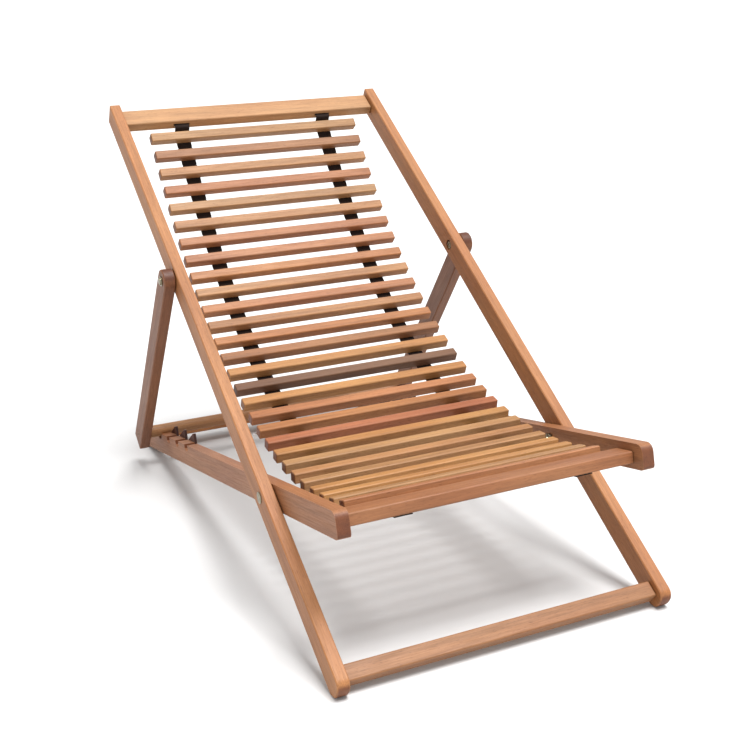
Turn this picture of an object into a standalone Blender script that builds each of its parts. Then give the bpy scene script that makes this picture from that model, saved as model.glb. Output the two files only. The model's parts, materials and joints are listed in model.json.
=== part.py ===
"""Folding deck chair with a slatted sling, in metres, +Z up.

Two crossed frames turn on each other at the main pivot, and a prop frame hung
from the long rails rests its dowel in a notch of the seat rails. The sling is
a row of loose slats on two webbing straps, slung from the top bar to the
front bar. +X is the sitter's left-to-right as seen from the front, -Y is the
front and Z = 0 is the ground.

Body -> nodes
  long_frame : long rails, top bar, foot bar, bolts, nuts, washers, straps
  seat_frame : seat rails, front bar, rear bar, notch racks
  prop_frame : prop legs, prop dowel
  slat_01 .. slat_28 : one slat each
"""

import math

import bmesh
import bpy
from mathutils import Matrix, Vector

# ---- driving dimensions -------------------------------------------------
WIDTH = 0.600                # over the outer faces of the prop legs
RAIL_HEIGHT = 0.040
RAIL_THICK = 0.020
LAYER_GAP = 0.0015           # washer space between two layers of rails
TOUCH = 0.0003               # clearance where two pieces meet
ROUND_OVER = 0.0016          # eased long edges of the timber

DEPTH_CENTRE = 0.4468        # shifts the side view so that the box is centred

LONG_TILT = math.radians(33.5)
LONG_FRONT_RISE = 0.1021     # height of the long rail's front line at y = 0
LONG_FOOT_U = -0.1376
LONG_HEAD_U = 1.116
FOOT_FRONT_RADIUS = 0.015
FOOT_BACK_RADIUS = 0.0178

SEAT_TILT = math.radians(12.06)
SEAT_TOP_AT = (0.100, 0.2284)
SEAT_FRONT_S = -0.2528       # along the rail from the main pivot
SEAT_REAR_S = 0.848
SEAT_NOSE_RADIUS = 0.013
SEAT_CHIN_RADIUS = 0.007

MAIN_PIVOT = (0.1707, 0.1951)
PROP_PIVOT = (0.5644, 0.4503)
PROP_DOWEL = (0.8550, 0.0736)
PROP_END = 0.0275            # leg past the dowel's centre
DOWEL_RADIUS = 0.012

NOTCH_WIDTH = 0.021
NOTCH_DEPTH = 0.012
NOTCH_PITCH = 0.067
NOTCH_COUNT = 4
LIFT_OUT_DEPTH = 0.0068      # the rail top is lowered behind the last notch
RACK_THICK = 0.0055
RACK_RISE = 0.016
RACK_DROP = 0.020
RACK_SETBACK = 0.0015        # between a notch and its tooth
RACK_TIP = 0.005

TOP_BAR_U = (1.068, 1.109)
TOP_BAR_RECESS = 0.0105
FOOT_BAR_U = (-0.1254, -0.0990)
CROSS_THICK = 0.019
FRONT_BAR_S = (-0.2309, -0.1898)
FRONT_BAR_DROP = 0.0115      # below the top of the seat rails
REAR_BAR_S = (0.7745, 0.8145)
REAR_BAR_DROP = 0.0085
REAR_BAR_THICK = 0.016

SLAT_COUNT = 28
SLAT_LENGTH = 0.4287
SLAT_WIDTH = 0.0180
SLAT_THICK = 0.0175
SLAT_PITCH = 0.03858
SLING_TOP = (0.88445, 0.6569)
SLING_SLOPE = (55.0, -33.0, -38.5, -2.2)   # degrees: a cubic along the sling
STRAP_X = 0.148
STRAP_WIDTH = 0.029
STRAP_THICK = 0.0016

BOLT_RADIUS = 0.003
MAIN_HEAD_RADIUS = 0.0095
NUT_RADIUS = 0.0080
NUT_POCKET = 0.0058         # depth of the counterbore for the prop bolt's nut
WASHER_RADIUS = 0.0090

# ---- worked out from them -----------------------------------------------
HALF = WIDTH / 2
PROP_X = (HALF - RAIL_THICK, HALF)
LONG_X = (PROP_X[0] - LAYER_GAP - RAIL_THICK, PROP_X[0] - LAYER_GAP)
SEAT_X = (LONG_X[0] - LAYER_GAP - RAIL_THICK, LONG_X[0] - LAYER_GAP)
SIDES = (("left", -1), ("right", 1))

WOOD = (0.46, 0.21, 0.095, 1.0)
RACK_WOOD = (0.16, 0.045, 0.025, 1.0)
ZINC = (0.42, 0.38, 0.30, 1.0)
WEBBING = (0.028, 0.016, 0.014, 1.0)


def side_frame(origin, tilt):
    """A side-view frame: origin (y, z), the along and across unit vectors."""
    along = Vector((0.0, math.cos(tilt), math.sin(tilt)))
    across = Vector((0.0, -math.sin(tilt), math.cos(tilt)))
    start = Vector((0.0, origin[0] - DEPTH_CENTRE, origin[1]))
    return start, along, across


def place(frame, s, v, x=0.0):
    """World point at s along and v across a side-view frame."""
    start, along, across = frame
    return start + along * s + across * v + Vector((x, 0.0, 0.0))


LONG = side_frame((0.0, LONG_FRONT_RISE), LONG_TILT)
MAIN = side_frame(MAIN_PIVOT, 0.0)[0]
HINGE_PROP = side_frame(PROP_PIVOT, 0.0)[0]
DOWEL = side_frame(PROP_DOWEL, 0.0)[0]
SEAT = side_frame(MAIN_PIVOT, -SEAT_TILT)
SEAT_TOP = (side_frame(SEAT_TOP_AT, 0.0)[0] - MAIN).dot(SEAT[2])
PROP_REACH = (DOWEL - HINGE_PROP).length
PROP_TILT = math.atan2(DOWEL.z - HINGE_PROP.z, DOWEL.y - HINGE_PROP.y)
PROP = side_frame(PROP_PIVOT, PROP_TILT)
LAST_NOTCH_S = (DOWEL - MAIN).dot(SEAT[1])


# ---- scene and object helpers -------------------------------------------
for old in list(bpy.data.objects):
    bpy.data.objects.remove(old, do_unlink=True)

CHAIR = bpy.data.collections.new("folding_deck_chair")
CUTTERS = bpy.data.collections.new("cutters")
bpy.context.scene.collection.children.link(CHAIR)
bpy.context.scene.collection.children.link(CUTTERS)


def make_material(name, colour, roughness, metallic=0.0):
    material = bpy.data.materials.new(name)
    material.use_nodes = True
    shader = material.node_tree.nodes["Principled BSDF"]
    shader.inputs["Base Color"].default_value = colour
    shader.inputs["Roughness"].default_value = roughness
    shader.inputs["Metallic"].default_value = metallic
    return material


def add_object(name, mesh, collection, look=None):
    item = bpy.data.objects.new(name, mesh)
    collection.objects.link(item)
    if look:
        mesh.materials.append(make_material(name + "_" + look[0], *look[1:]))
    return item


def add_pivot(name, point):
    """An empty on a joint's axis, which carries the pieces that turn there."""
    pivot = bpy.data.objects.new(name, None)
    pivot.location = point
    CHAIR.objects.link(pivot)
    return pivot


def hang_on(pivot, item):
    """Parent a piece to a pivot and keep where it is."""
    item.parent = pivot
    item.matrix_parent_inverse = Matrix.Translation(-pivot.location)
    return item


def box_mesh(size):
    """A closed box centred on its own origin."""
    mesh = bpy.data.meshes.new("box")
    work = bmesh.new()
    bmesh.ops.create_cube(work, size=1.0)
    bmesh.ops.scale(work, vec=size, verts=work.verts)
    work.to_mesh(mesh)
    work.free()
    return mesh


def cylinder_mesh(radius, length, sides):
    """A closed cylinder along X, centred on its own origin."""
    mesh = bpy.data.meshes.new("cylinder")
    work = bmesh.new()
    bmesh.ops.create_cone(work, cap_ends=True, segments=sides, radius1=radius,
                          radius2=radius, depth=length)
    bmesh.ops.rotate(work, cent=(0, 0, 0), verts=work.verts,
                     matrix=Matrix.Rotation(math.pi / 2, 3, "Y"))
    work.to_mesh(mesh)
    work.free()
    return mesh


def plate_mesh(outline, thick):
    """A flat piece in the YZ plane, as thick as given along X, from its outline."""
    mesh = bpy.data.meshes.new("plate")
    work = bmesh.new()
    points = [work.verts.new((-thick / 2, y, z)) for y, z in outline]
    face = work.faces.new(points)
    grown = bmesh.ops.extrude_face_region(work, geom=[face])
    moved = [v for v in grown["geom"] if isinstance(v, bmesh.types.BMVert)]
    bmesh.ops.translate(work, vec=(thick, 0, 0), verts=moved)
    bmesh.ops.recalc_face_normals(work, faces=work.faces)
    work.to_mesh(mesh)
    work.free()
    return mesh


def ease_edges(item, width=ROUND_OVER):
    """Round the long edges over, as a planer leaves them."""
    bevel = item.modifiers.new("eased_edges", "BEVEL")
    bevel.width = width
    bevel.segments = 1
    bevel.limit_method = "ANGLE"
    bevel.angle_limit = math.radians(50)


def cut(item, cutter):
    cutter.hide_render = True
    cutter.display_type = "WIRE"
    boolean = item.modifiers.new("cut_" + cutter.name, "BOOLEAN")
    boolean.operation = "DIFFERENCE"
    boolean.solver = "EXACT"
    boolean.object = cutter


def bore(item, point, radius, reach=0.06):
    """A round hole along X through a rail."""
    drill = add_object(item.name + "_drill", cylinder_mesh(radius, reach, 20), CUTTERS)
    drill.location = point
    cut(item, drill)


def corner(y, z, radius, start, steps=4):
    """Points of a quarter round about a centre, from the start angle in degrees."""
    angles = [math.radians(start + 90.0 * k / steps) for k in range(steps + 1)]
    return [(y + radius * math.cos(a), z + radius * math.sin(a)) for a in angles]


def tilt_of(frame):
    return math.atan2(frame[1].z, frame[1].y)


def add_plate(name, frame, outline, x, thick, look):
    """A rail cut from board: its outline is in the frame's (s, v)."""
    item = add_object(name, plate_mesh(outline, thick), CHAIR, look)
    item.location = place(frame, 0.0, 0.0, x)
    item.rotation_euler = (tilt_of(frame), 0.0, 0.0)
    return item


def add_cross(name, frame, s_span, v_span, half_length, look):
    """A bar across the chair, with its section in the frame's (s, v)."""
    size = (2 * half_length, s_span[1] - s_span[0], v_span[1] - v_span[0])
    item = add_object(name, box_mesh(size), CHAIR, look)
    item.location = place(frame, sum(s_span) / 2, sum(v_span) / 2)
    item.rotation_euler = (tilt_of(frame), 0.0, 0.0)
    ease_edges(item)
    return item


WOOD_LOOK = ("oiled_hardwood", WOOD, 0.55)
RACK_LOOK = ("stained_hardwood", RACK_WOOD, 0.55)
METAL_LOOK = ("zinc_plate", ZINC, 0.35, 1.0)
STRAP_LOOK = ("webbing", WEBBING, 0.9)


# ---- the long frame -----------------------------------------------------
def long_rail_outline():
    """Foot rounded at both corners, head cut square; the front face is v = 0."""
    foot, head, back = LONG_FOOT_U, LONG_HEAD_U, -RAIL_HEIGHT
    points = corner(foot + FOOT_BACK_RADIUS, back + FOOT_BACK_RADIUS,
                    FOOT_BACK_RADIUS, 180)
    points += [(head, back), (head, 0.0)]
    points += corner(foot + FOOT_FRONT_RADIUS, -FOOT_FRONT_RADIUS,
                     FOOT_FRONT_RADIUS, 90)
    return points


def add_long_frame():
    middle = (LONG_X[0] + LONG_X[1]) / 2
    for side, sign in SIDES:
        rail = add_plate("long_rail_" + side, LONG, long_rail_outline(),
                         sign * middle, RAIL_THICK, WOOD_LOOK)
        ease_edges(rail)
        bore(rail, MAIN + Vector((sign * middle, 0, 0)), BOLT_RADIUS + TOUCH)
        bore(rail, HINGE_PROP + Vector((sign * middle, 0, 0)), BOLT_RADIUS + TOUCH)
        pocket = HINGE_PROP + Vector((sign * (LONG_X[0] - 0.010 + NUT_POCKET), 0, 0))
        bore(rail, pocket, NUT_RADIUS + 0.0015, 0.020)
    half = LONG_X[0] - TOUCH
    front = -TOP_BAR_RECESS
    top_bar = add_cross("top_bar", LONG, TOP_BAR_U, (front - CROSS_THICK, front),
                        half, WOOD_LOOK)
    for side, sign in SIDES:
        mouth = add_object("strap_mouth_" + side,
                           box_mesh((STRAP_WIDTH + 0.003, 0.024, 0.0045)), CUTTERS)
        mouth.location = place(LONG, TOP_BAR_U[0], front - CROSS_THICK / 2,
                               sign * STRAP_X)
        mouth.rotation_euler = (LONG_TILT, 0.0, 0.0)
        cut(top_bar, mouth)
    add_cross("foot_bar", LONG, FOOT_BAR_U, (front - CROSS_THICK, front), half, WOOD_LOOK)


# ---- the seat frame -----------------------------------------------------
def seat_rail_outline():
    """Rounded nose, a row of round-bottomed notches, and a lowered tail.

    The tail's lower corner is cut level, so that the rail stands on a flat.
    """
    top, bottom = SEAT_TOP, SEAT_TOP - RAIL_HEIGHT
    tail_top = top - LIFT_OUT_DEPTH
    points = corner(SEAT_FRONT_S + SEAT_CHIN_RADIUS, bottom + SEAT_CHIN_RADIUS,
                    SEAT_CHIN_RADIUS, 180)
    ground_s = (MAIN.z + bottom * math.cos(SEAT_TILT)) / math.sin(SEAT_TILT)
    points.append((ground_s, bottom))
    points.append((SEAT_REAR_S, bottom + (SEAT_REAR_S - ground_s) * math.tan(SEAT_TILT)))
    points.append((SEAT_REAR_S, tail_top))
    for number in range(NOTCH_COUNT):
        centre = LAST_NOTCH_S - number * NOTCH_PITCH
        rear_level = tail_top if number == 0 else top
        half = NOTCH_WIDTH / 2
        floor = top - NOTCH_DEPTH
        points.append((centre + half, rear_level))
        points += [(centre + half * math.cos(a), floor + half * 0.35 * (1 - math.sin(-a)))
                   for a in (0.0, -math.pi / 4, -math.pi / 2, -3 * math.pi / 4, -math.pi)]
        points.append((centre - half, top))
    points += corner(SEAT_FRONT_S + SEAT_NOSE_RADIUS, top - SEAT_NOSE_RADIUS,
                     SEAT_NOSE_RADIUS, 90)
    return points


def rack_outline():
    """Sawtooth plate with a gap at each notch; every tooth stands behind one.

    A tooth has an upright front face, a short flat tip, and a long ramp down
    to the next notch to the rear.
    """
    top, floor = SEAT_TOP, SEAT_TOP - NOTCH_DEPTH
    half = NOTCH_WIDTH / 2 + RACK_SETBACK
    points = [(LAST_NOTCH_S - half, SEAT_TOP - RACK_DROP)]
    for number in range(1, NOTCH_COUNT):
        face = LAST_NOTCH_S - number * NOTCH_PITCH + half
        foot = LAST_NOTCH_S - (number - 1) * NOTCH_PITCH - half
        points += [(foot, top), (face + RACK_TIP, top + RACK_RISE), (face, top + RACK_RISE)]
        if number < NOTCH_COUNT - 1:
            points += [(face, floor), (face - 2 * half, floor)]
        else:
            points.append((face, SEAT_TOP - RACK_DROP))
    return points


def add_seat_frame(pivot):
    middle = (SEAT_X[0] + SEAT_X[1]) / 2
    for side, sign in SIDES:
        rail = add_plate("seat_rail_" + side, SEAT, seat_rail_outline(),
                         sign * middle, RAIL_THICK, WOOD_LOOK)
        bore(rail, MAIN + Vector((sign * middle, 0, 0)), BOLT_RADIUS + TOUCH)
        rack_x = SEAT_X[0] - TOUCH - RACK_THICK / 2
        rack = add_plate("notch_rack_" + side, SEAT, rack_outline(),
                         sign * rack_x, RACK_THICK, RACK_LOOK)
        hang_on(pivot, rail)
        hang_on(pivot, rack)
    half = SEAT_X[0] - TOUCH
    front_top = SEAT_TOP - FRONT_BAR_DROP
    front = add_cross("front_bar", SEAT, FRONT_BAR_S, (front_top - CROSS_THICK, front_top),
                      half, WOOD_LOOK)
    rear_top = SEAT_TOP - REAR_BAR_DROP
    rear = add_cross("rear_bar", SEAT, REAR_BAR_S, (rear_top - REAR_BAR_THICK, rear_top),
                     half, WOOD_LOOK)
    hang_on(pivot, front)
    hang_on(pivot, rear)


# ---- the prop frame -----------------------------------------------------
def prop_outline():
    """A full round at the pivot end and a square cut past the dowel."""
    half, end = RAIL_HEIGHT / 2, PROP_REACH + PROP_END
    turn = corner(0.0, 0.0, half, 90) + corner(0.0, 0.0, half, 180)[1:]
    return turn + [(end, -half), (end, half)]


def add_prop_frame(pivot):
    middle = (PROP_X[0] + PROP_X[1]) / 2
    for side, sign in SIDES:
        leg = add_plate("prop_leg_" + side, PROP, prop_outline(),
                        sign * middle, RAIL_THICK, WOOD_LOOK)
        ease_edges(leg)
        bore(leg, HINGE_PROP + Vector((sign * middle, 0, 0)), BOLT_RADIUS + TOUCH)
        bore(leg, DOWEL + Vector((sign * middle, 0, 0)), DOWEL_RADIUS + TOUCH)
        hang_on(pivot, leg)
    dowel = add_object("prop_dowel", cylinder_mesh(DOWEL_RADIUS, WIDTH, 24), CHAIR, WOOD_LOOK)
    dowel.location = DOWEL
    hang_on(pivot, dowel)


# ---- bolts, nuts and washers --------------------------------------------
def turned(name, steps, sign, point, sides, collection=CHAIR):
    """A turned fastener along X: steps of (radius, from x, to x), outward is +x."""
    profile = []
    for radius, start, stop in steps:
        profile += [(start, radius), (stop, radius)]
    mesh = bpy.data.meshes.new(name)
    work = bmesh.new()
    rings = []
    for x, radius in profile:
        ring = [work.verts.new((sign * x, radius * math.cos(2 * math.pi * k / sides),
                                radius * math.sin(2 * math.pi * k / sides)))
                for k in range(sides)]
        rings.append(ring)
    for first, second in zip(rings, rings[1:]):
        for k in range(sides):
            after = (k + 1) % sides
            work.faces.new((first[k], first[after], second[after], second[k]))
    work.faces.new(rings[0])
    work.faces.new(rings[-1])
    bmesh.ops.recalc_face_normals(work, faces=work.faces)
    work.to_mesh(mesh)
    work.free()
    item = add_object(name, mesh, collection, METAL_LOOK)
    item.location = point
    return item


def washer(name, sign, point, x_span, radius):
    """A washer between two layers, with a clear hole for its bolt."""
    length = x_span[1] - x_span[0]
    item = add_object(name, cylinder_mesh(radius, length, 20), CHAIR, METAL_LOOK)
    item.location = point + Vector((sign * sum(x_span) / 2, 0, 0))
    bore(item, item.location, BOLT_RADIUS + TOUCH)
    return item


def add_fasteners():
    for side, sign in SIDES:
        nut_in = SEAT_X[0] - 0.0062
        turned("main_bolt_" + side,
               ((BOLT_RADIUS, nut_in - 0.003, LONG_X[1] + TOUCH),
                (MAIN_HEAD_RADIUS, LONG_X[1] + TOUCH, LONG_X[1] + 0.0011)),
               sign, MAIN, 16)
        nut = turned("main_nut_" + side,
                     ((NUT_RADIUS, nut_in, SEAT_X[0] - TOUCH),), sign, MAIN, 6)
        bore(nut, MAIN + Vector((sign * nut_in, 0, 0)), BOLT_RADIUS + TOUCH)
        gap = (SEAT_X[1] + TOUCH, LONG_X[0] - TOUCH)
        washer("main_washer_" + side, sign, MAIN, gap, WASHER_RADIUS)
        prop_nut_in = LONG_X[0] + 0.0010
        turned("prop_bolt_" + side,
               ((BOLT_RADIUS, prop_nut_in + 0.0005, PROP_X[1] + TOUCH),
                (WASHER_RADIUS, PROP_X[1] + TOUCH, PROP_X[1] + 0.0016),
                (0.0065, PROP_X[1] + 0.0016, PROP_X[1] + 0.0040)),
               sign, HINGE_PROP, 16)
        prop_nut = turned("prop_nut_" + side,
                          ((NUT_RADIUS, prop_nut_in, LONG_X[0] + NUT_POCKET - TOUCH),),
                          sign, HINGE_PROP, 6)
        bore(prop_nut, HINGE_PROP + Vector((sign * prop_nut_in, 0, 0)), BOLT_RADIUS + TOUCH)
        gap = (LONG_X[1] + TOUCH, PROP_X[0] - TOUCH)
        washer("prop_washer_" + side, sign, HINGE_PROP, gap, WASHER_RADIUS)


# ---- the sling ----------------------------------------------------------
def sling_slope(t):
    """Slope of the sling in radians at t = 0 (top slat) to 1 (front slat)."""
    return math.radians(sum(c * t ** power for power, c in enumerate(SLING_SLOPE)))


def slat_frames():
    """For each slat, the middle of its back face and its slope."""
    frames = []
    last = SLAT_COUNT - 1
    front = side_frame(SLING_TOP, 0.0)[0]
    for number in range(SLAT_COUNT):
        slope = sling_slope(number / last)
        out = Vector((0.0, -math.sin(slope), math.cos(slope)))
        frames.append((front - out * SLAT_THICK, slope))
        step = sling_slope((number + 0.5) / last)
        front = front - Vector((0.0, math.cos(step), math.sin(step))) * SLAT_PITCH
    return frames


def slat_edges(frame):
    """The upper and lower edges of a slat's back face."""
    back, slope = frame
    along = Vector((0.0, math.cos(slope), math.sin(slope)))
    return back + along * SLAT_WIDTH / 2, back - along * SLAT_WIDTH / 2


def slat_hinges(frames):
    """Where the strap bends above each slat."""
    slot = place(LONG, TOP_BAR_U[0] - 0.002, -TOP_BAR_RECESS - CROSS_THICK / 2)
    points = [slot]
    for above, below in zip(frames, frames[1:]):
        points.append((slat_edges(above)[1] + slat_edges(below)[0]) / 2)
    return points


def add_slats(frames):
    for number, ((back, slope), hinge) in enumerate(zip(frames, slat_hinges(frames)), 1):
        name = "slat_%02d" % number
        item = add_object(name, box_mesh((SLAT_LENGTH, SLAT_WIDTH, SLAT_THICK)),
                          CHAIR, WOOD_LOOK)
        out = Vector((0.0, -math.sin(slope), math.cos(slope)))
        item.location = back + out * SLAT_THICK / 2
        item.rotation_euler = (slope, 0.0, 0.0)
        ease_edges(item)
        hang_on(add_pivot(name + "_bend", hinge), item)


def add_straps(frames):
    """Each strap is a thin band behind the slats, from the top bar's mouth."""
    path = [place(LONG, TOP_BAR_U[0] + 0.008, -TOP_BAR_RECESS - CROSS_THICK / 2)]
    path.append(slat_hinges(frames)[0])
    for back, slope in frames:
        lift = Vector((0.0, -math.sin(slope), math.cos(slope))) * TOUCH
        upper, lower = slat_edges((back, slope))
        path += [upper - lift, lower - lift]
    end = place(SEAT, FRONT_BAR_S[1] + 0.002, SEAT_TOP - FRONT_BAR_DROP - CROSS_THICK)
    path.append(end)
    for side, sign in SIDES:
        mesh = bpy.data.meshes.new("strap")
        work = bmesh.new()
        rows = []
        for point in path:
            rows.append([work.verts.new(point + Vector((x, 0, 0)))
                         for x in (-STRAP_WIDTH / 2, STRAP_WIDTH / 2)])
        for upper, lower in zip(rows, rows[1:]):
            work.faces.new((upper[0], upper[1], lower[1], lower[0]))
        work.to_mesh(mesh)
        work.free()
        strap = add_object("strap_" + side, mesh, CHAIR, STRAP_LOOK)
        strap.location = (sign * STRAP_X, 0.0, 0.0)
        band = strap.modifiers.new("band", "SOLIDIFY")
        band.thickness = STRAP_THICK
        band.offset = 1.0


seat_pivot = add_pivot("main_pivot", MAIN)
prop_pivot = add_pivot("prop_pivot", HINGE_PROP)
add_long_frame()
add_seat_frame(seat_pivot)
add_prop_frame(prop_pivot)
add_fasteners()
sling = slat_frames()
add_slats(sling)
add_straps(sling)
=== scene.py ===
import json
import math

import bmesh
import bpy
from mathutils import Matrix, Vector

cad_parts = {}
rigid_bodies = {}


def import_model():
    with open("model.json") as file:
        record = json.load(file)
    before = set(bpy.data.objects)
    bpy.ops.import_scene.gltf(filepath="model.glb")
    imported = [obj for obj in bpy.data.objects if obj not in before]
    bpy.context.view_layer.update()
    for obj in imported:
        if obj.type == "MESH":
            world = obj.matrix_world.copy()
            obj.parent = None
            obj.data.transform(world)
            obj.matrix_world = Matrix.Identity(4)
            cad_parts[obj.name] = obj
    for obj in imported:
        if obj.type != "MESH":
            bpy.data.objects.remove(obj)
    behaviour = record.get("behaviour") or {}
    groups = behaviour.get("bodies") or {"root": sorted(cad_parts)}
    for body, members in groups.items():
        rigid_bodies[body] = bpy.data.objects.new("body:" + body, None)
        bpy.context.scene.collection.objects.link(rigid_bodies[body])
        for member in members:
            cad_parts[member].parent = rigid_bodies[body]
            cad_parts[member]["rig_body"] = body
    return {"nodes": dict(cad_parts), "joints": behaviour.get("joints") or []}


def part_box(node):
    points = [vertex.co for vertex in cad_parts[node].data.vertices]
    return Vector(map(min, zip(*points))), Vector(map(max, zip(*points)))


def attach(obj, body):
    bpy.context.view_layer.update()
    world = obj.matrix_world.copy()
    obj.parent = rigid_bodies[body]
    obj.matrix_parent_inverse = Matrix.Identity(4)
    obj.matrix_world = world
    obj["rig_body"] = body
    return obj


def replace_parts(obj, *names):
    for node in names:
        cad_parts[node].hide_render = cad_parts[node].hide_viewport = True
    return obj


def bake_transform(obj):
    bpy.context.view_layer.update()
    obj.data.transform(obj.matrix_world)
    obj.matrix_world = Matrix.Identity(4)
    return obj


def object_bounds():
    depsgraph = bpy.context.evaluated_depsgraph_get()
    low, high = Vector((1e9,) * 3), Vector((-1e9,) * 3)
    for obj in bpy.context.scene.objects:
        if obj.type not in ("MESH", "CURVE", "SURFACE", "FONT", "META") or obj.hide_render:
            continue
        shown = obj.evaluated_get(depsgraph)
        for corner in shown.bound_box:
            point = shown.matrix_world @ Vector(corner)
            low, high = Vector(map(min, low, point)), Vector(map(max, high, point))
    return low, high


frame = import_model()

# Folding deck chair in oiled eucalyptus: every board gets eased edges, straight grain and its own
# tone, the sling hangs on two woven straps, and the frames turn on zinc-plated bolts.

cad_low, cad_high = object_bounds()
MM = 0.001
NODES = frame["nodes"]
SIDES = ("left", "right")
SLATS = ["slat_%02d" % number for number in range(1, 29)]
SIDEWAYS = Vector((1, 0, 0))

EDGE_ROUND = 0.55 * MM       # softens each edge of the planed chamfers
METAL_ROUND = 0.3 * MM

SCREW_NECK = 2.2 * MM        # radii of the screw's cone in the wood and at its top
SCREW_HEAD = 3.6 * MM
SCREW_CONE = 1.6 * MM        # height of the cone, whose middle is sunk below the leg's face
SCREW_SUNK = 0.5 * MM
SCREW_RIM = 1.9 * MM
SOCKET_DEPTH = 1.0 * MM

STRAP_WIDTH = 29 * MM
STRAP_THICK = 1.6 * MM
STRAP_LIFT = 0.3 * MM        # between the webbing and the wood it lies on
STRAP_X = 148 * MM
FLAT_RUN = 8 * MM            # the band lies flat this far above and below a slat's middle
NECK_DEPTHS = (11 * MM, 7 * MM, 3 * MM)      # the band's straight run inside the top bar
SILL = 1 * MM                # it starts to bend this far outside the bar
GAP_STEPS = 8                # parts of the curve from one slat to the next
TONGUE_SLIM = 0.8
REAR_REACH = 24 * MM         # the band under the front bar starts this far behind its middle
ANCHOR_STOPS = (-REAR_REACH, -12 * MM, 0, 10 * MM, 18.5 * MM)

WIRE = 1.1 * MM
STAPLE_CROWN = 12 * MM
STAPLE_LEG = 2.8 * MM

# tones of the boards, as oiled eucalyptus varies from trunk to trunk, and a much darker tone for the
# racks
TONES = {
    "pale": "#AA7F56", "straw": "#9F774E", "tan": "#A0734A", "honey": "#A57645",
    "amber": "#A16C40", "rose": "#9F6A44", "clay": "#995D3D", "brown": "#90633F",
    "umber": "#6A4A34", "russet": "#92603D", "walnut": "#784B2E", "rack_dark": "#4A2419",
}
SLAT_TONES = ("straw", "brown", "tan", "rose", "straw", "tan", "rose", "rose", "amber", "tan",
              "rose", "tan", "amber", "brown", "honey", "umber", "honey", "rose", "amber",
              "clay", "honey", "straw", "tan", "straw", "honey", "honey", "straw", "rose")
FRAME_TONES = {"top_bar": "pale", "foot_bar": "brown", "front_bar": "russet", "rear_bar": "amber",
               "long_rail": "amber", "seat_rail": "russet", "prop_leg": "walnut",
               "prop_dowel": "tan", "notch_rack": "rack_dark"}


# ---- materials ------------------------------------------------------------
def colour(code):
    """Linear RGBA from an sRGB hex code."""
    parts = [int(code[i:i + 2], 16) / 255 for i in (1, 3, 5)]
    linear = [p / 12.92 if p <= 0.04045 else ((p + 0.055) / 1.055) ** 2.4 for p in parts]
    return (*linear, 1.0)


def grey(value):
    return (value, value, value, 1.0)


def new_material(name):
    material = bpy.data.materials.new(name)
    material.use_nodes = True
    material.node_tree.nodes.clear()
    return material


def add_node(material, kind, settings=None, **links):
    """Add a node: settings are its properties, and links are socket values or (node, output).

    A socket is given by its name, with _ for a space, or as i and its number.
    """
    node = material.node_tree.nodes.new(kind)
    for key, value in (settings or {}).items():
        setattr(node, key, value)
    for key, value in links.items():
        index = int(key[1:]) if key[0] == "i" and key[1:].isdigit() else None
        socket = node.inputs[index] if index is not None else node.inputs[key.replace("_", " ")]
        if isinstance(value, tuple) and isinstance(value[0], bpy.types.Node):
            material.node_tree.links.new(value[0].outputs[value[1]], socket)
        else:
            socket.default_value = value
    return node


def set_ramp(node, stops):
    """Fill a colour ramp with (position, colour) stops."""
    ramp = node.color_ramp
    while len(ramp.elements) < len(stops):
        ramp.elements.new(0.5)
    for element, (position, value) in zip(ramp.elements, stops):
        element.position = position
        element.color = value


def finish_material(material, shader):
    add_node(material, "ShaderNodeOutputMaterial", Surface=(shader, "BSDF"))
    return material


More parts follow.
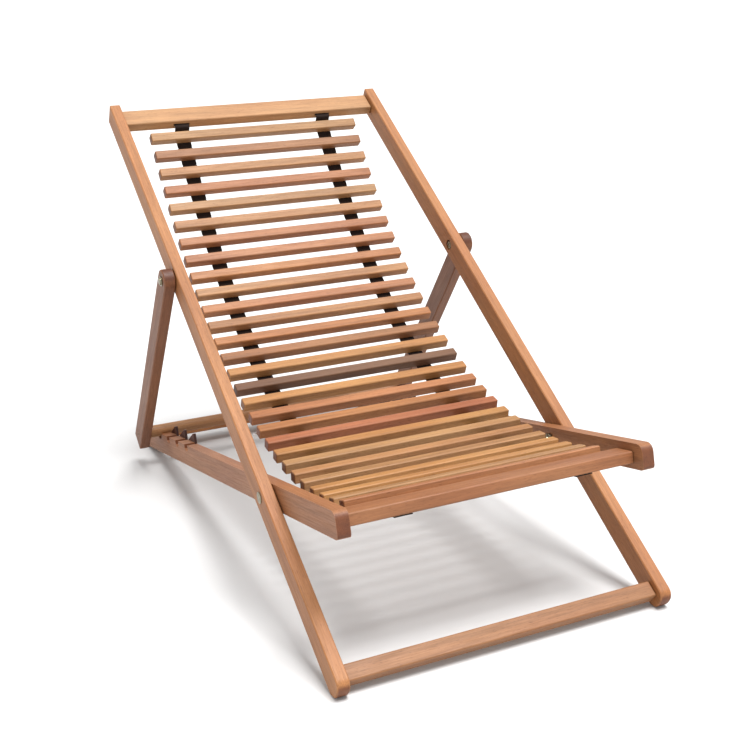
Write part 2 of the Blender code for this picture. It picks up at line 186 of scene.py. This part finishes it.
def oiled_eucalyptus(name, pore_depth=0.5):
    """Planed and oiled hardwood: long straight grain, short pores, satin sheen, and end faces
    painted darker, partly for the end grain and partly as painted shade.

    The length of a board is its object's X, so one solid pattern gives face and end grain.
    """
    wood = new_material(name)
    place = add_node(wood, "ShaderNodeTexCoord")
    seed = add_node(wood, "ShaderNodeAttribute", {"attribute_name": "board_seed"})
    shift = add_node(wood, "ShaderNodeVectorMath", {"operation": "MULTIPLY"},
                     i0=(seed, "Vector"), i1=(3.1, 0.37, 0.53))
    spot = add_node(wood, "ShaderNodeVectorMath", {"operation": "ADD"},
                    i0=(place, "Object"), i1=(shift, "Vector"))
    tone = add_node(wood, "ShaderNodeAttribute", {"attribute_name": "board_tone"})

    # each pattern's length and width in mm, then its detail, roughness and distortion;
    # real pores are about 0.2 mm wide, and are drawn wider here so that they show
    patterns = {"growth": (260, 9, 3.0, 0.55, 0.35), "fibre": (45, 1.6, 3.0, 0.6, 0.0),
                "pore": (9, 0.9, 2.0, 0.5, 0.0), "patch": (180, 60, 1.0, 0.5, 0.0)}
    grain = {}
    for pattern, (length, width, detail, rough, warp) in patterns.items():
        scale = (1 / (length * MM), 1 / (width * MM), 1 / (width * MM))
        stretch = add_node(wood, "ShaderNodeMapping", Vector=(spot, "Vector"), Scale=scale)
        grain[pattern] = add_node(wood, "ShaderNodeTexNoise", Vector=(stretch, "Vector"),
                                  Scale=1.0, Detail=detail, Roughness=rough, Distortion=warp)

    # the board's tone is shaded by each pattern in turn, by the share given with its stops
    shades = {
        "growth": (1.0, [(0.30, grey(0.80)), (0.46, grey(0.95)), (0.60, grey(1.03)),
                         (0.74, grey(1.10))]),
        "fibre": (0.85, [(0.32, grey(0.80)), (0.68, grey(1.12))]),
        "pore": (0.75, [(0.30, (0.55, 0.47, 0.42, 1.0)), (0.40, grey(1.0))]),
        "patch": (1.0, [(0.35, (0.92, 0.84, 0.78, 1.0)), (0.65, (1.06, 1.06, 1.04, 1.0))]),
    }
    shaded = (tone, "Color")
    for pattern, (share, stops) in shades.items():
        shade = add_node(wood, "ShaderNodeValToRGB", Fac=(grain[pattern], "Fac"))
        set_ramp(shade, stops)
        shaded = (add_node(wood, "ShaderNodeMix", {"data_type": "RGBA", "blend_type": "MULTIPLY"},
                           i0=share, i6=shaded, i7=(shade, "Color")), 2)

    # the end faces are darker and redder: partly the end grain, which drinks more oil, and partly
    # painted shade
    split = add_node(wood, "ShaderNodeSeparateXYZ", Vector=(place, "Normal"))
    facing = add_node(wood, "ShaderNodeMath", {"operation": "ABSOLUTE"}, i0=(split, "X"))
    end_grain_and_shade_mask = add_node(wood, "ShaderNodeMapRange", Value=(facing, 0), i1=0.60, i2=0.85)
    dark = add_node(wood, "ShaderNodeMix", {"data_type": "RGBA", "blend_type": "MULTIPLY"},
                    i0=(end_grain_and_shade_mask, "Result"), i6=shaded, i7=(0.50, 0.37, 0.30, 1.0))

    # handled edges are rubbed a little paler
    soft = add_node(wood, "ShaderNodeBevel", {"samples": 4}, Radius=1.6 * MM)
    hard = add_node(wood, "ShaderNodeNewGeometry")
    match = add_node(wood, "ShaderNodeVectorMath", {"operation": "DOT_PRODUCT"},
                     i0=(soft, "Normal"), i1=(hard, "Normal"))
    rub = add_node(wood, "ShaderNodeMapRange", Value=(match, "Value"), i1=0.995, i2=0.90,
                   i3=0.0, i4=0.35)
    worn = add_node(wood, "ShaderNodeMix", {"data_type": "RGBA", "blend_type": "SCREEN"},
                    i0=(rub, "Result"), i6=(dark, 2), i7=colour("#8A5F40"))

    sheen = add_node(wood, "ShaderNodeMapRange", Value=(grain["fibre"], "Fac"), i1=0.3, i2=0.7,
                     i3=0.62, i4=0.46)
    height = add_node(wood, "ShaderNodeMath", {"operation": "MULTIPLY_ADD"},
                      i0=(grain["fibre"], "Fac"), i1=0.45, i2=(grain["pore"], "Fac"))
    bump = add_node(wood, "ShaderNodeBump", Strength=pore_depth, Distance=0.35 * MM,
                    Height=(height, 0))
    shader = add_node(wood, "ShaderNodeBsdfPrincipled", Base_Color=(worn, 2), IOR=1.48,
                      Roughness=(sheen, "Result"), Normal=(bump, "Normal"))
    return finish_material(wood, shader)


def woven_webbing():
    """Polypropylene strap, plain woven in ribs across its width, matt and nearly black-brown."""
    web = new_material("woven_polypropylene_webbing")
    place = add_node(web, "ShaderNodeTexCoord")
    rib_pitch, warp_pitch, fuzz_size = 1.6 * MM, 1.9 * MM, 1.11 * MM
    wave_repeat = math.pi / 10      # one band of the wave texture at scale 1
    ribs = add_node(web, "ShaderNodeTexWave", {"bands_direction": "X"}, Vector=(place, "UV"),
                    Scale=wave_repeat / rib_pitch)
    warps = add_node(web, "ShaderNodeTexWave", {"bands_direction": "Y"}, Vector=(place, "UV"),
                     Scale=wave_repeat / warp_pitch)
    fuzz = add_node(web, "ShaderNodeTexNoise", Vector=(place, "UV"), Scale=1 / fuzz_size,
                    Detail=2.0)
    weave = add_node(web, "ShaderNodeMath", {"operation": "MULTIPLY"},
                     i0=(ribs, "Fac"), i1=(warps, "Fac"))
    height = add_node(web, "ShaderNodeMath", {"operation": "MULTIPLY_ADD"},
                      i0=(fuzz, "Fac"), i1=0.3, i2=(weave, 0))
    # the weave is painted darker where it lies low, as painted shade in its hollows; the fuzz also
    # adds a random tone of the yarn
    shade = add_node(web, "ShaderNodeValToRGB", Fac=(height, 0))
    set_ramp(shade, [(0.05, colour("#120B09")), (0.55, colour("#281A15")), (1.0, colour("#3A2820"))])
    bump = add_node(web, "ShaderNodeBump", Strength=0.8, Distance=0.4 * MM, Height=(height, 0))
    shader = add_node(web, "ShaderNodeBsdfPrincipled", Base_Color=(shade, "Color"),
                      Roughness=0.85, Normal=(bump, "Normal"), Specular_IOR_Level=0.3)
    return finish_material(web, shader)


def plated_steel():
    """Zinc-plated, yellow-passivated steel: bright, with a faint brassy cloud and fine scuffs."""
    steel = new_material("zinc_plated_steel")
    place = add_node(steel, "ShaderNodeTexCoord")
    cloud_size, scuff_size = 3.85 * MM, 0.67 * MM
    cloud = add_node(steel, "ShaderNodeTexNoise", Vector=(place, "Object"),
                     Scale=1 / cloud_size, Detail=3.0)
    scuff = add_node(steel, "ShaderNodeTexNoise", Vector=(place, "Object"),
                     Scale=1 / scuff_size, Detail=1.0)
    shade = add_node(steel, "ShaderNodeValToRGB", Fac=(cloud, "Fac"))
    set_ramp(shade, [(0.3, colour("#6C624A")), (0.7, colour("#9C9582"))])
    rough = add_node(steel, "ShaderNodeMapRange", Value=(scuff, "Fac"), i1=0.3, i2=0.7,
                     i3=0.24, i4=0.42)
    bump = add_node(steel, "ShaderNodeBump", Strength=0.15, Distance=0.1 * MM,
                    Height=(scuff, "Fac"))
    shader = add_node(steel, "ShaderNodeBsdfPrincipled", Base_Color=(shade, "Color"),
                      Roughness=(rough, "Result"), Metallic=1.0, Normal=(bump, "Normal"))
    return finish_material(steel, shader)


def painted_floor():
    """Matt pale studio floor with a barely visible roller texture."""
    floor = new_material("matt_pale_floor")
    place = add_node(floor, "ShaderNodeTexCoord")
    roller_size = 4.55 * MM
    roller = add_node(floor, "ShaderNodeTexNoise", Vector=(place, "Object"),
                      Scale=1 / roller_size, Detail=2.0)
    bump = add_node(floor, "ShaderNodeBump", Strength=0.03, Distance=0.2 * MM,
                    Height=(roller, "Fac"))
    shader = add_node(floor, "ShaderNodeBsdfPrincipled", Base_Color=colour("#D2D2D2"),
                      Roughness=0.85, Normal=(bump, "Normal"))
    return finish_material(floor, shader)


WOOD = (oiled_eucalyptus("oiled_eucalyptus"), "oiled_hardwood")
# the racks take the same wood pattern in a much darker tone than any board
RACK_WOOD = (oiled_eucalyptus("dark_eucalyptus", 0.4), "stained_hardwood")
WEBBING = (woven_webbing(), "webbing")
STEEL = (plated_steel(), "zinc_plated_steel")


# ---- pieces ---------------------------------------------------------------
def add_object(name, data):
    thing = bpy.data.objects.new(name, data)
    bpy.context.scene.collection.objects.link(thing)
    return thing


def add_piece(name, mesh, finish, body, home=Matrix()):
    """A piece on its body, with the material of a (material, slot) finish; a blended piece has no
    one body.
    """
    piece = add_object(name, mesh)
    piece.matrix_world = home
    material, slot = finish
    mesh.materials.append(material)
    if body:
        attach(piece, body)
    return piece


def body_of(node):
    return NODES[node]["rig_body"]


def clean_solid(node):
    """The CAD solid of a node with its flat faces whole again."""
    work = bmesh.new()
    work.from_mesh(NODES[node].data)
    bmesh.ops.remove_doubles(work, verts=work.verts, dist=0.01 * MM)
    bmesh.ops.dissolve_limit(work, angle_limit=math.radians(0.5), verts=work.verts,
                             edges=work.edges)
    return work


def turned_edges(work, least):
    """Edges where the surface turns by more than the given angle."""
    return [e for e in work.edges if e.is_manifold and e.calc_face_angle(0.0) > math.radians(least)]


def round_edges(work, edges, radius):
    bmesh.ops.bevel(work, geom=edges, offset=radius, segments=2, profile=0.5,
                    affect="EDGES", clamp_overlap=True)


def finish_mesh(name, work):
    """The mesh of a working solid, which is then freed."""
    mesh = bpy.data.meshes.new(name)
    work.to_mesh(mesh)
    work.free()
    return mesh


def crease(mesh, least):
    """Smooth shading that breaks where the surface turns by more than the given angle."""
    mesh.shade_smooth()
    mesh.set_sharp_from_angle(angle=math.radians(least))


def keep_flats_flat(mesh):
    """Normals weighted by face area, so that broad faces shade flat and small rounds blend."""
    normals = [Vector() for _ in mesh.vertices]
    for face in mesh.polygons:
        for number in face.vertices:
            normals[number] += face.normal * face.area
    mesh.shade_smooth()
    mesh.normals_split_custom_set_from_vertices([n.normalized() for n in normals])


def mean_point(verts):
    return sum((v.co for v in verts), Vector()) / len(verts)


# ---- boards ---------------------------------------------------------------
def add_board(node, tone, seed, finish=WOOD):
    """A board in place of its CAD node, its length along its own X, its edges rounded over."""
    work = clean_solid(node)
    longest = max(work.edges, key=lambda e: e.calc_length())
    along = (longest.verts[1].co - longest.verts[0].co).normalized()
    across = SIDEWAYS if abs(along.x) < 0.5 else Vector((0, 1, 0))
    third = along.cross(across).normalized()
    across = third.cross(along)
    turn = Matrix((along, across, third)).transposed().to_4x4()
    home = Matrix.Translation(mean_point(work.verts)) @ turn
    bmesh.ops.transform(work, matrix=home.inverted(), verts=work.verts)
    round_edges(work, turned_edges(work, 30), EDGE_ROUND)
    mesh = finish_mesh(node + "_board", work)
    tones = mesh.attributes.new("board_tone", "FLOAT_COLOR", "POINT")
    seeds = mesh.attributes.new("board_seed", "FLOAT_VECTOR", "POINT")
    linear = colour(TONES[tone])
    for number in range(len(mesh.vertices)):
        tones.data[number].color = linear
        seeds.data[number].vector = (seed, seed * 1.7, seed * 2.3)
    keep_flats_flat(mesh)
    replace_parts(add_piece(node + "_board", mesh, finish, body_of(node), home), node)


def add_frame_boards():
    """Rails, bars, legs, dowel and racks, each cut from another part of the grain."""
    seed = 11.0
    for node in sorted(NODES):
        family = node.removesuffix("_left").removesuffix("_right")
        if family in FRAME_TONES:
            seed += 1.37
            add_board(node, FRAME_TONES[family], seed,
                      RACK_WOOD if family == "notch_rack" else WOOD)


def add_slats():
    for number, (node, tone) in enumerate(zip(SLATS, SLAT_TONES)):
        add_board(node, tone, 1.0 + 0.73 * number)


# ---- hardware -------------------------------------------------------------
def add_hardware():
    """Bolts, nuts and washers take rounded edges and a plated finish."""
    for node in sorted(NODES):
        if node.startswith(("main_", "prop_bolt", "prop_nut", "prop_washer")):
            work = clean_solid(node)
            round_edges(work, turned_edges(work, 40), METAL_ROUND)
            mesh = finish_mesh(node + "_part", work)
            crease(mesh, 35)
            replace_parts(add_piece(node + "_part", mesh, STEEL, body_of(node)), node)


def add_dowel_screws():
    """A countersunk screw on each end of the dowel, where it comes through the prop leg."""
    low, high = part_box("prop_dowel")
    axis = (low + high) / 2
    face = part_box("prop_leg_right")[1].x
    for side, sign in (("left", -1), ("right", 1)):
        work = bmesh.new()
        bmesh.ops.create_cone(work, cap_ends=True, segments=24, radius1=SCREW_NECK,
                              radius2=SCREW_HEAD, depth=SCREW_CONE)
        top = max(work.faces, key=lambda f: f.calc_center_median().z)
        bmesh.ops.inset_individual(work, faces=[top], thickness=SCREW_RIM)
        bmesh.ops.translate(work, verts=top.verts, vec=(0, 0, -SOCKET_DEPTH))
        place = (Matrix.Translation((sign * (face - SCREW_SUNK), axis.y, axis.z))
                 @ Matrix.Rotation(sign * math.pi / 2, 4, "Y"))
        bmesh.ops.transform(work, matrix=place, verts=work.verts)
        mesh = finish_mesh("dowel_screw_" + side, work)
        crease(mesh, 25)
        add_piece("dowel_screw_" + side, mesh, STEEL, "prop_frame")


# ---- straps ---------------------------------------------------------------
def flat_face(node, toward):
    """Centre and normal of the largest flat face of a node that looks a given way."""
    work = clean_solid(node)
    work.normal_update()
    face = max((f for f in work.faces if f.normal.dot(toward) > 0.9), key=lambda f: f.calc_area())
    found = face.calc_center_bounds(), face.normal.copy()
    work.free()
    return found


def slat_back(node, up):
    """Centre of a slat's back, the direction out of it, and the direction up the sling."""
    behind = SIDEWAYS.cross(up)
    centre, out = flat_face(node, behind if behind.z < 0 else -behind)
    centre.x = 0.0
    way = out.cross(SIDEWAYS)
    return centre, out, way if way.dot(up) > 0 else -way


def band_section():
    """Points round the webbing: thick at its rounded selvedges, a little thinner between."""
    half, thick = STRAP_WIDTH / 2, STRAP_THICK / 2
    selvedge = thick * 0.8
    upper = [(-half, 0.0), (-half + selvedge * 0.4, thick * 0.8), (-half + selvedge, thick),
             (0.0, thick * 0.9), (half - selvedge, thick), (half - selvedge * 0.4, thick * 0.8)]
    return upper + [(-x, -y) for x, y in upper]


def strap_mesh(name, route, outs, slim):
    """A woven band along a route in the side view, with UVs in metres."""
    ring = band_section()
    work = bmesh.new()
    uv = work.loops.layers.uv.new("weave")
    lengths, total = [], 0.0
    for number, point in enumerate(route):
        total += (point - route[number - 1]).length if number else 0.0
        lengths.append(total)
    rows = [[work.verts.new(point + SIDEWAYS * (x * (1 + share) / 2) + out * y * share)
             for x, y in ring] for point, out, share in zip(route, outs, slim)]
    for number, (first, second) in enumerate(zip(rows, rows[1:])):
        for k in range(len(ring)):
            after = (k + 1) % len(ring)
            face = work.faces.new((first[k], first[after], second[after], second[k]))
            spots = ((lengths[number], ring[k][0]), (lengths[number], ring[after][0]),
                     (lengths[number + 1], ring[after][0]), (lengths[number + 1], ring[k][0]))
            for loop, spot in zip(face.loops, spots):
                loop[uv].uv = spot
    work.faces.new(rows[0])
    work.faces.new(rows[-1])
    bmesh.ops.recalc_face_normals(work, faces=work.faces)
    return finish_mesh(name, work)


def bridge(start, start_way, end, end_way, steps):
    """Points of a smooth curve between two ends that leave in the given directions."""
    span = (end - start).length
    points = []
    for number in range(steps + 1):
        t = number / steps
        points.append(start * (2 * t ** 3 - 3 * t ** 2 + 1) + end * (3 * t ** 2 - 2 * t ** 3)
                      + (start_way * (t ** 3 - 2 * t ** 2 + t) + end_way * (t ** 3 - t ** 2)) * span)
    return points


def route_outs(route, toward):
    """The direction out of the band at each point of its route."""
    outs = []
    for number in range(len(route)):
        before, after = route[max(number - 1, 0)], route[min(number + 1, len(route) - 1)]
        out = (after - before).normalized().cross(SIDEWAYS)
        toward = out if out.dot(toward) > 0 else -out
        outs.append(toward)
    return outs


def add_strap_piece(name, side, route, toward, body=None, tongue=False):
    """One length of webbing; a tongue at its lower end is slimmer and hides in the next length."""
    x = STRAP_X if side == "right" else -STRAP_X
    shifted = [point + SIDEWAYS * x for point in route]
    slim = [1.0] * len(route)
    if tongue:
        slim[-2:] = TONGUE_SLIM, TONGUE_SLIM
    name = "strap_%s_%s" % (side, name)
    mesh = strap_mesh(name, shifted, route_outs(route, toward), slim)
    crease(mesh, 60)
    return add_piece(name, mesh, WEBBING, body)


def add_strap_neck(side, mouth, under_bar, level, out, up):
    """The band leaves the top bar square to its face, then bends down to the first slat."""
    sill, upper = mouth + under_bar * SILL, level + up * FLAT_RUN
    route = ([mouth - under_bar * depth for depth in NECK_DEPTHS]
             + bridge(sill, under_bar, upper, -up, 9))
    neck = add_strap_piece("neck", side, route, out)
    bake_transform(neck)
    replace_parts(neck, "strap_" + side)


def add_strap_lengths(side, levels):
    """One stiff length on each slat; neighbours overlap in the middle of the gap between them."""
    middle = GAP_STEPS // 2
    for number, (level, out, up) in enumerate(levels):
        head, foot = level + up * FLAT_RUN, level - up * FLAT_RUN
        rise, fall = [head], [foot]
        if number > 0:
            before, _, before_up = levels[number - 1]
            rise = bridge(before - before_up * FLAT_RUN, -before_up, head, -up, GAP_STEPS)[middle:]
        last = number + 1 == len(levels)
        if not last:
            after, _, after_up = levels[number + 1]
            gap = bridge(foot, -up, after + after_up * FLAT_RUN, -after_up, GAP_STEPS)
            fall = gap[:middle + 2]
        add_strap_piece("%02d" % (number + 1), side, rise + [level] + fall, out,
                        SLATS[number], tongue=not last)


def add_strap_end(side, level, out, up):
    """Past the last slat the band dives under the front bar and lies along its underside."""
    below, facing = flat_face("front_bar", Vector((0, -0.2, -0.98)))
    below.x = 0.0
    forward = facing.cross(SIDEWAYS)
    forward = forward if forward.y < 0 else -forward
    under = below + facing * (STRAP_LIFT + STRAP_THICK / 2)
    start = level - up * (FLAT_RUN - 2 * MM)
    rear_edge = under - forward * REAR_REACH + facing * 1 * MM
    add_strap_piece("dive", side, bridge(start, -up, rear_edge, forward, 10), out, SLATS[-1])
    band = [under + forward * stop for stop in ANCHOR_STOPS]
    add_strap_piece("anchor", side, band, facing, "seat_frame")


def add_staples(slat, level, out, up):
    """A wire staple through each strap into the back of a slat, its legs sunk in the wood."""
    work = bmesh.new()
    turn = Matrix((SIDEWAYS, up, out)).transposed().to_4x4()
    for x in (-STRAP_X, STRAP_X):
        middle = level + SIDEWAYS * x + out * (STRAP_THICK / 2 + WIRE * 0.3)
        crown = Matrix.Translation(middle) @ turn
        parts = [(0.0, 0.0, STAPLE_CROWN, WIRE)]
        parts += [(end * (STAPLE_CROWN - WIRE) / 2, -STAPLE_LEG / 2, WIRE, STAPLE_LEG)
                  for end in (-1, 1)]
        for along, depth, length, height in parts:
            size = Matrix.Diagonal((length, WIRE, height, 1.0))
            bmesh.ops.create_cube(work, size=1.0,
                                  matrix=crown @ Matrix.Translation((along, 0.0, depth)) @ size)
    round_edges(work, list(work.edges), WIRE * 0.28)
    mesh = finish_mesh(slat + "_staples", work)
    crease(mesh, 60)
    add_piece(slat + "_staples", mesh, STEEL, slat)


def add_straps():
    """Two bands from inside the top bar, down the backs of the slats, to under the front bar."""
    centres = [mean_point(NODES[slat].data.vertices) for slat in SLATS]
    levels = []
    for number, slat in enumerate(SLATS):
        above, below = centres[max(number - 1, 0)], centres[min(number + 1, len(SLATS) - 1)]
        back, out, up = slat_back(slat, (above - below).normalized())
        level = back + out * (STRAP_LIFT + STRAP_THICK / 2)
        levels.append((level, out, up))
        add_staples(slat, level, out, up)
    mouth = next(Vector(j["pos_m"]) for j in frame["joints"] if j["child"] == SLATS[0])
    bar_low, bar_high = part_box("top_bar")
    _, under_bar = flat_face("top_bar", (mouth - (bar_low + bar_high) / 2).normalized())
    for side in SIDES:
        add_strap_neck(side, mouth, under_bar, *levels[0])
        add_strap_lengths(side, levels)
        add_strap_end(side, *levels[-1])


# ---- room, light and camera -----------------------------------------------
def add_floor():
    work = bmesh.new()
    bmesh.ops.create_grid(work, x_segments=1, y_segments=1, size=500.0)
    floor = add_object("floor", finish_mesh("floor", work))
    floor.data.materials.append(painted_floor())
    floor.location.z = cad_low.z - 0.2 * MM


def add_lights():
    """A bright room with one broad lamp overhead, a little in front and to the right."""
    world = bpy.data.worlds.new("white_room")
    world.use_nodes = True
    world.node_tree.nodes["Background"].inputs["Color"].default_value = grey(1.0)
    world.node_tree.nodes["Background"].inputs["Strength"].default_value = 0.80
    bpy.context.scene.world = world
    data = bpy.data.lights.new("broad_lamp", "SUN")
    data.energy = 4.2
    data.angle = math.radians(26)
    shining = Vector((-0.14, 0.26, -1.0))
    add_object("broad_lamp", data).rotation_euler = shining.to_track_quat("-Z", "Y").to_euler()
    bpy.context.scene.view_settings.view_transform = "Standard"


def add_camera():
    azimuth, elevation, roll = (math.radians(a) for a in (-24.56, 18.14, -1.66))
    target, distance = Vector((0.004, -0.097, 0.288)), 2.0286
    back = Vector((math.sin(azimuth) * math.cos(elevation),
                   -math.cos(azimuth) * math.cos(elevation), math.sin(elevation)))
    data = bpy.data.cameras.new("camera")
    data.lens, data.sensor_width = 56.85, 36.0
    camera = add_object("camera", data)
    turn = (-back).to_track_quat("-Z", "Y").to_matrix().to_4x4()
    camera.matrix_world = (Matrix.Translation(target + back * distance) @ turn
                           @ Matrix.Rotation(roll, 4, "Z"))
    bpy.context.scene.camera = camera


add_frame_boards()
add_slats()
add_hardware()
add_dowel_screws()
add_straps()
add_floor()
add_lights()
add_camera()
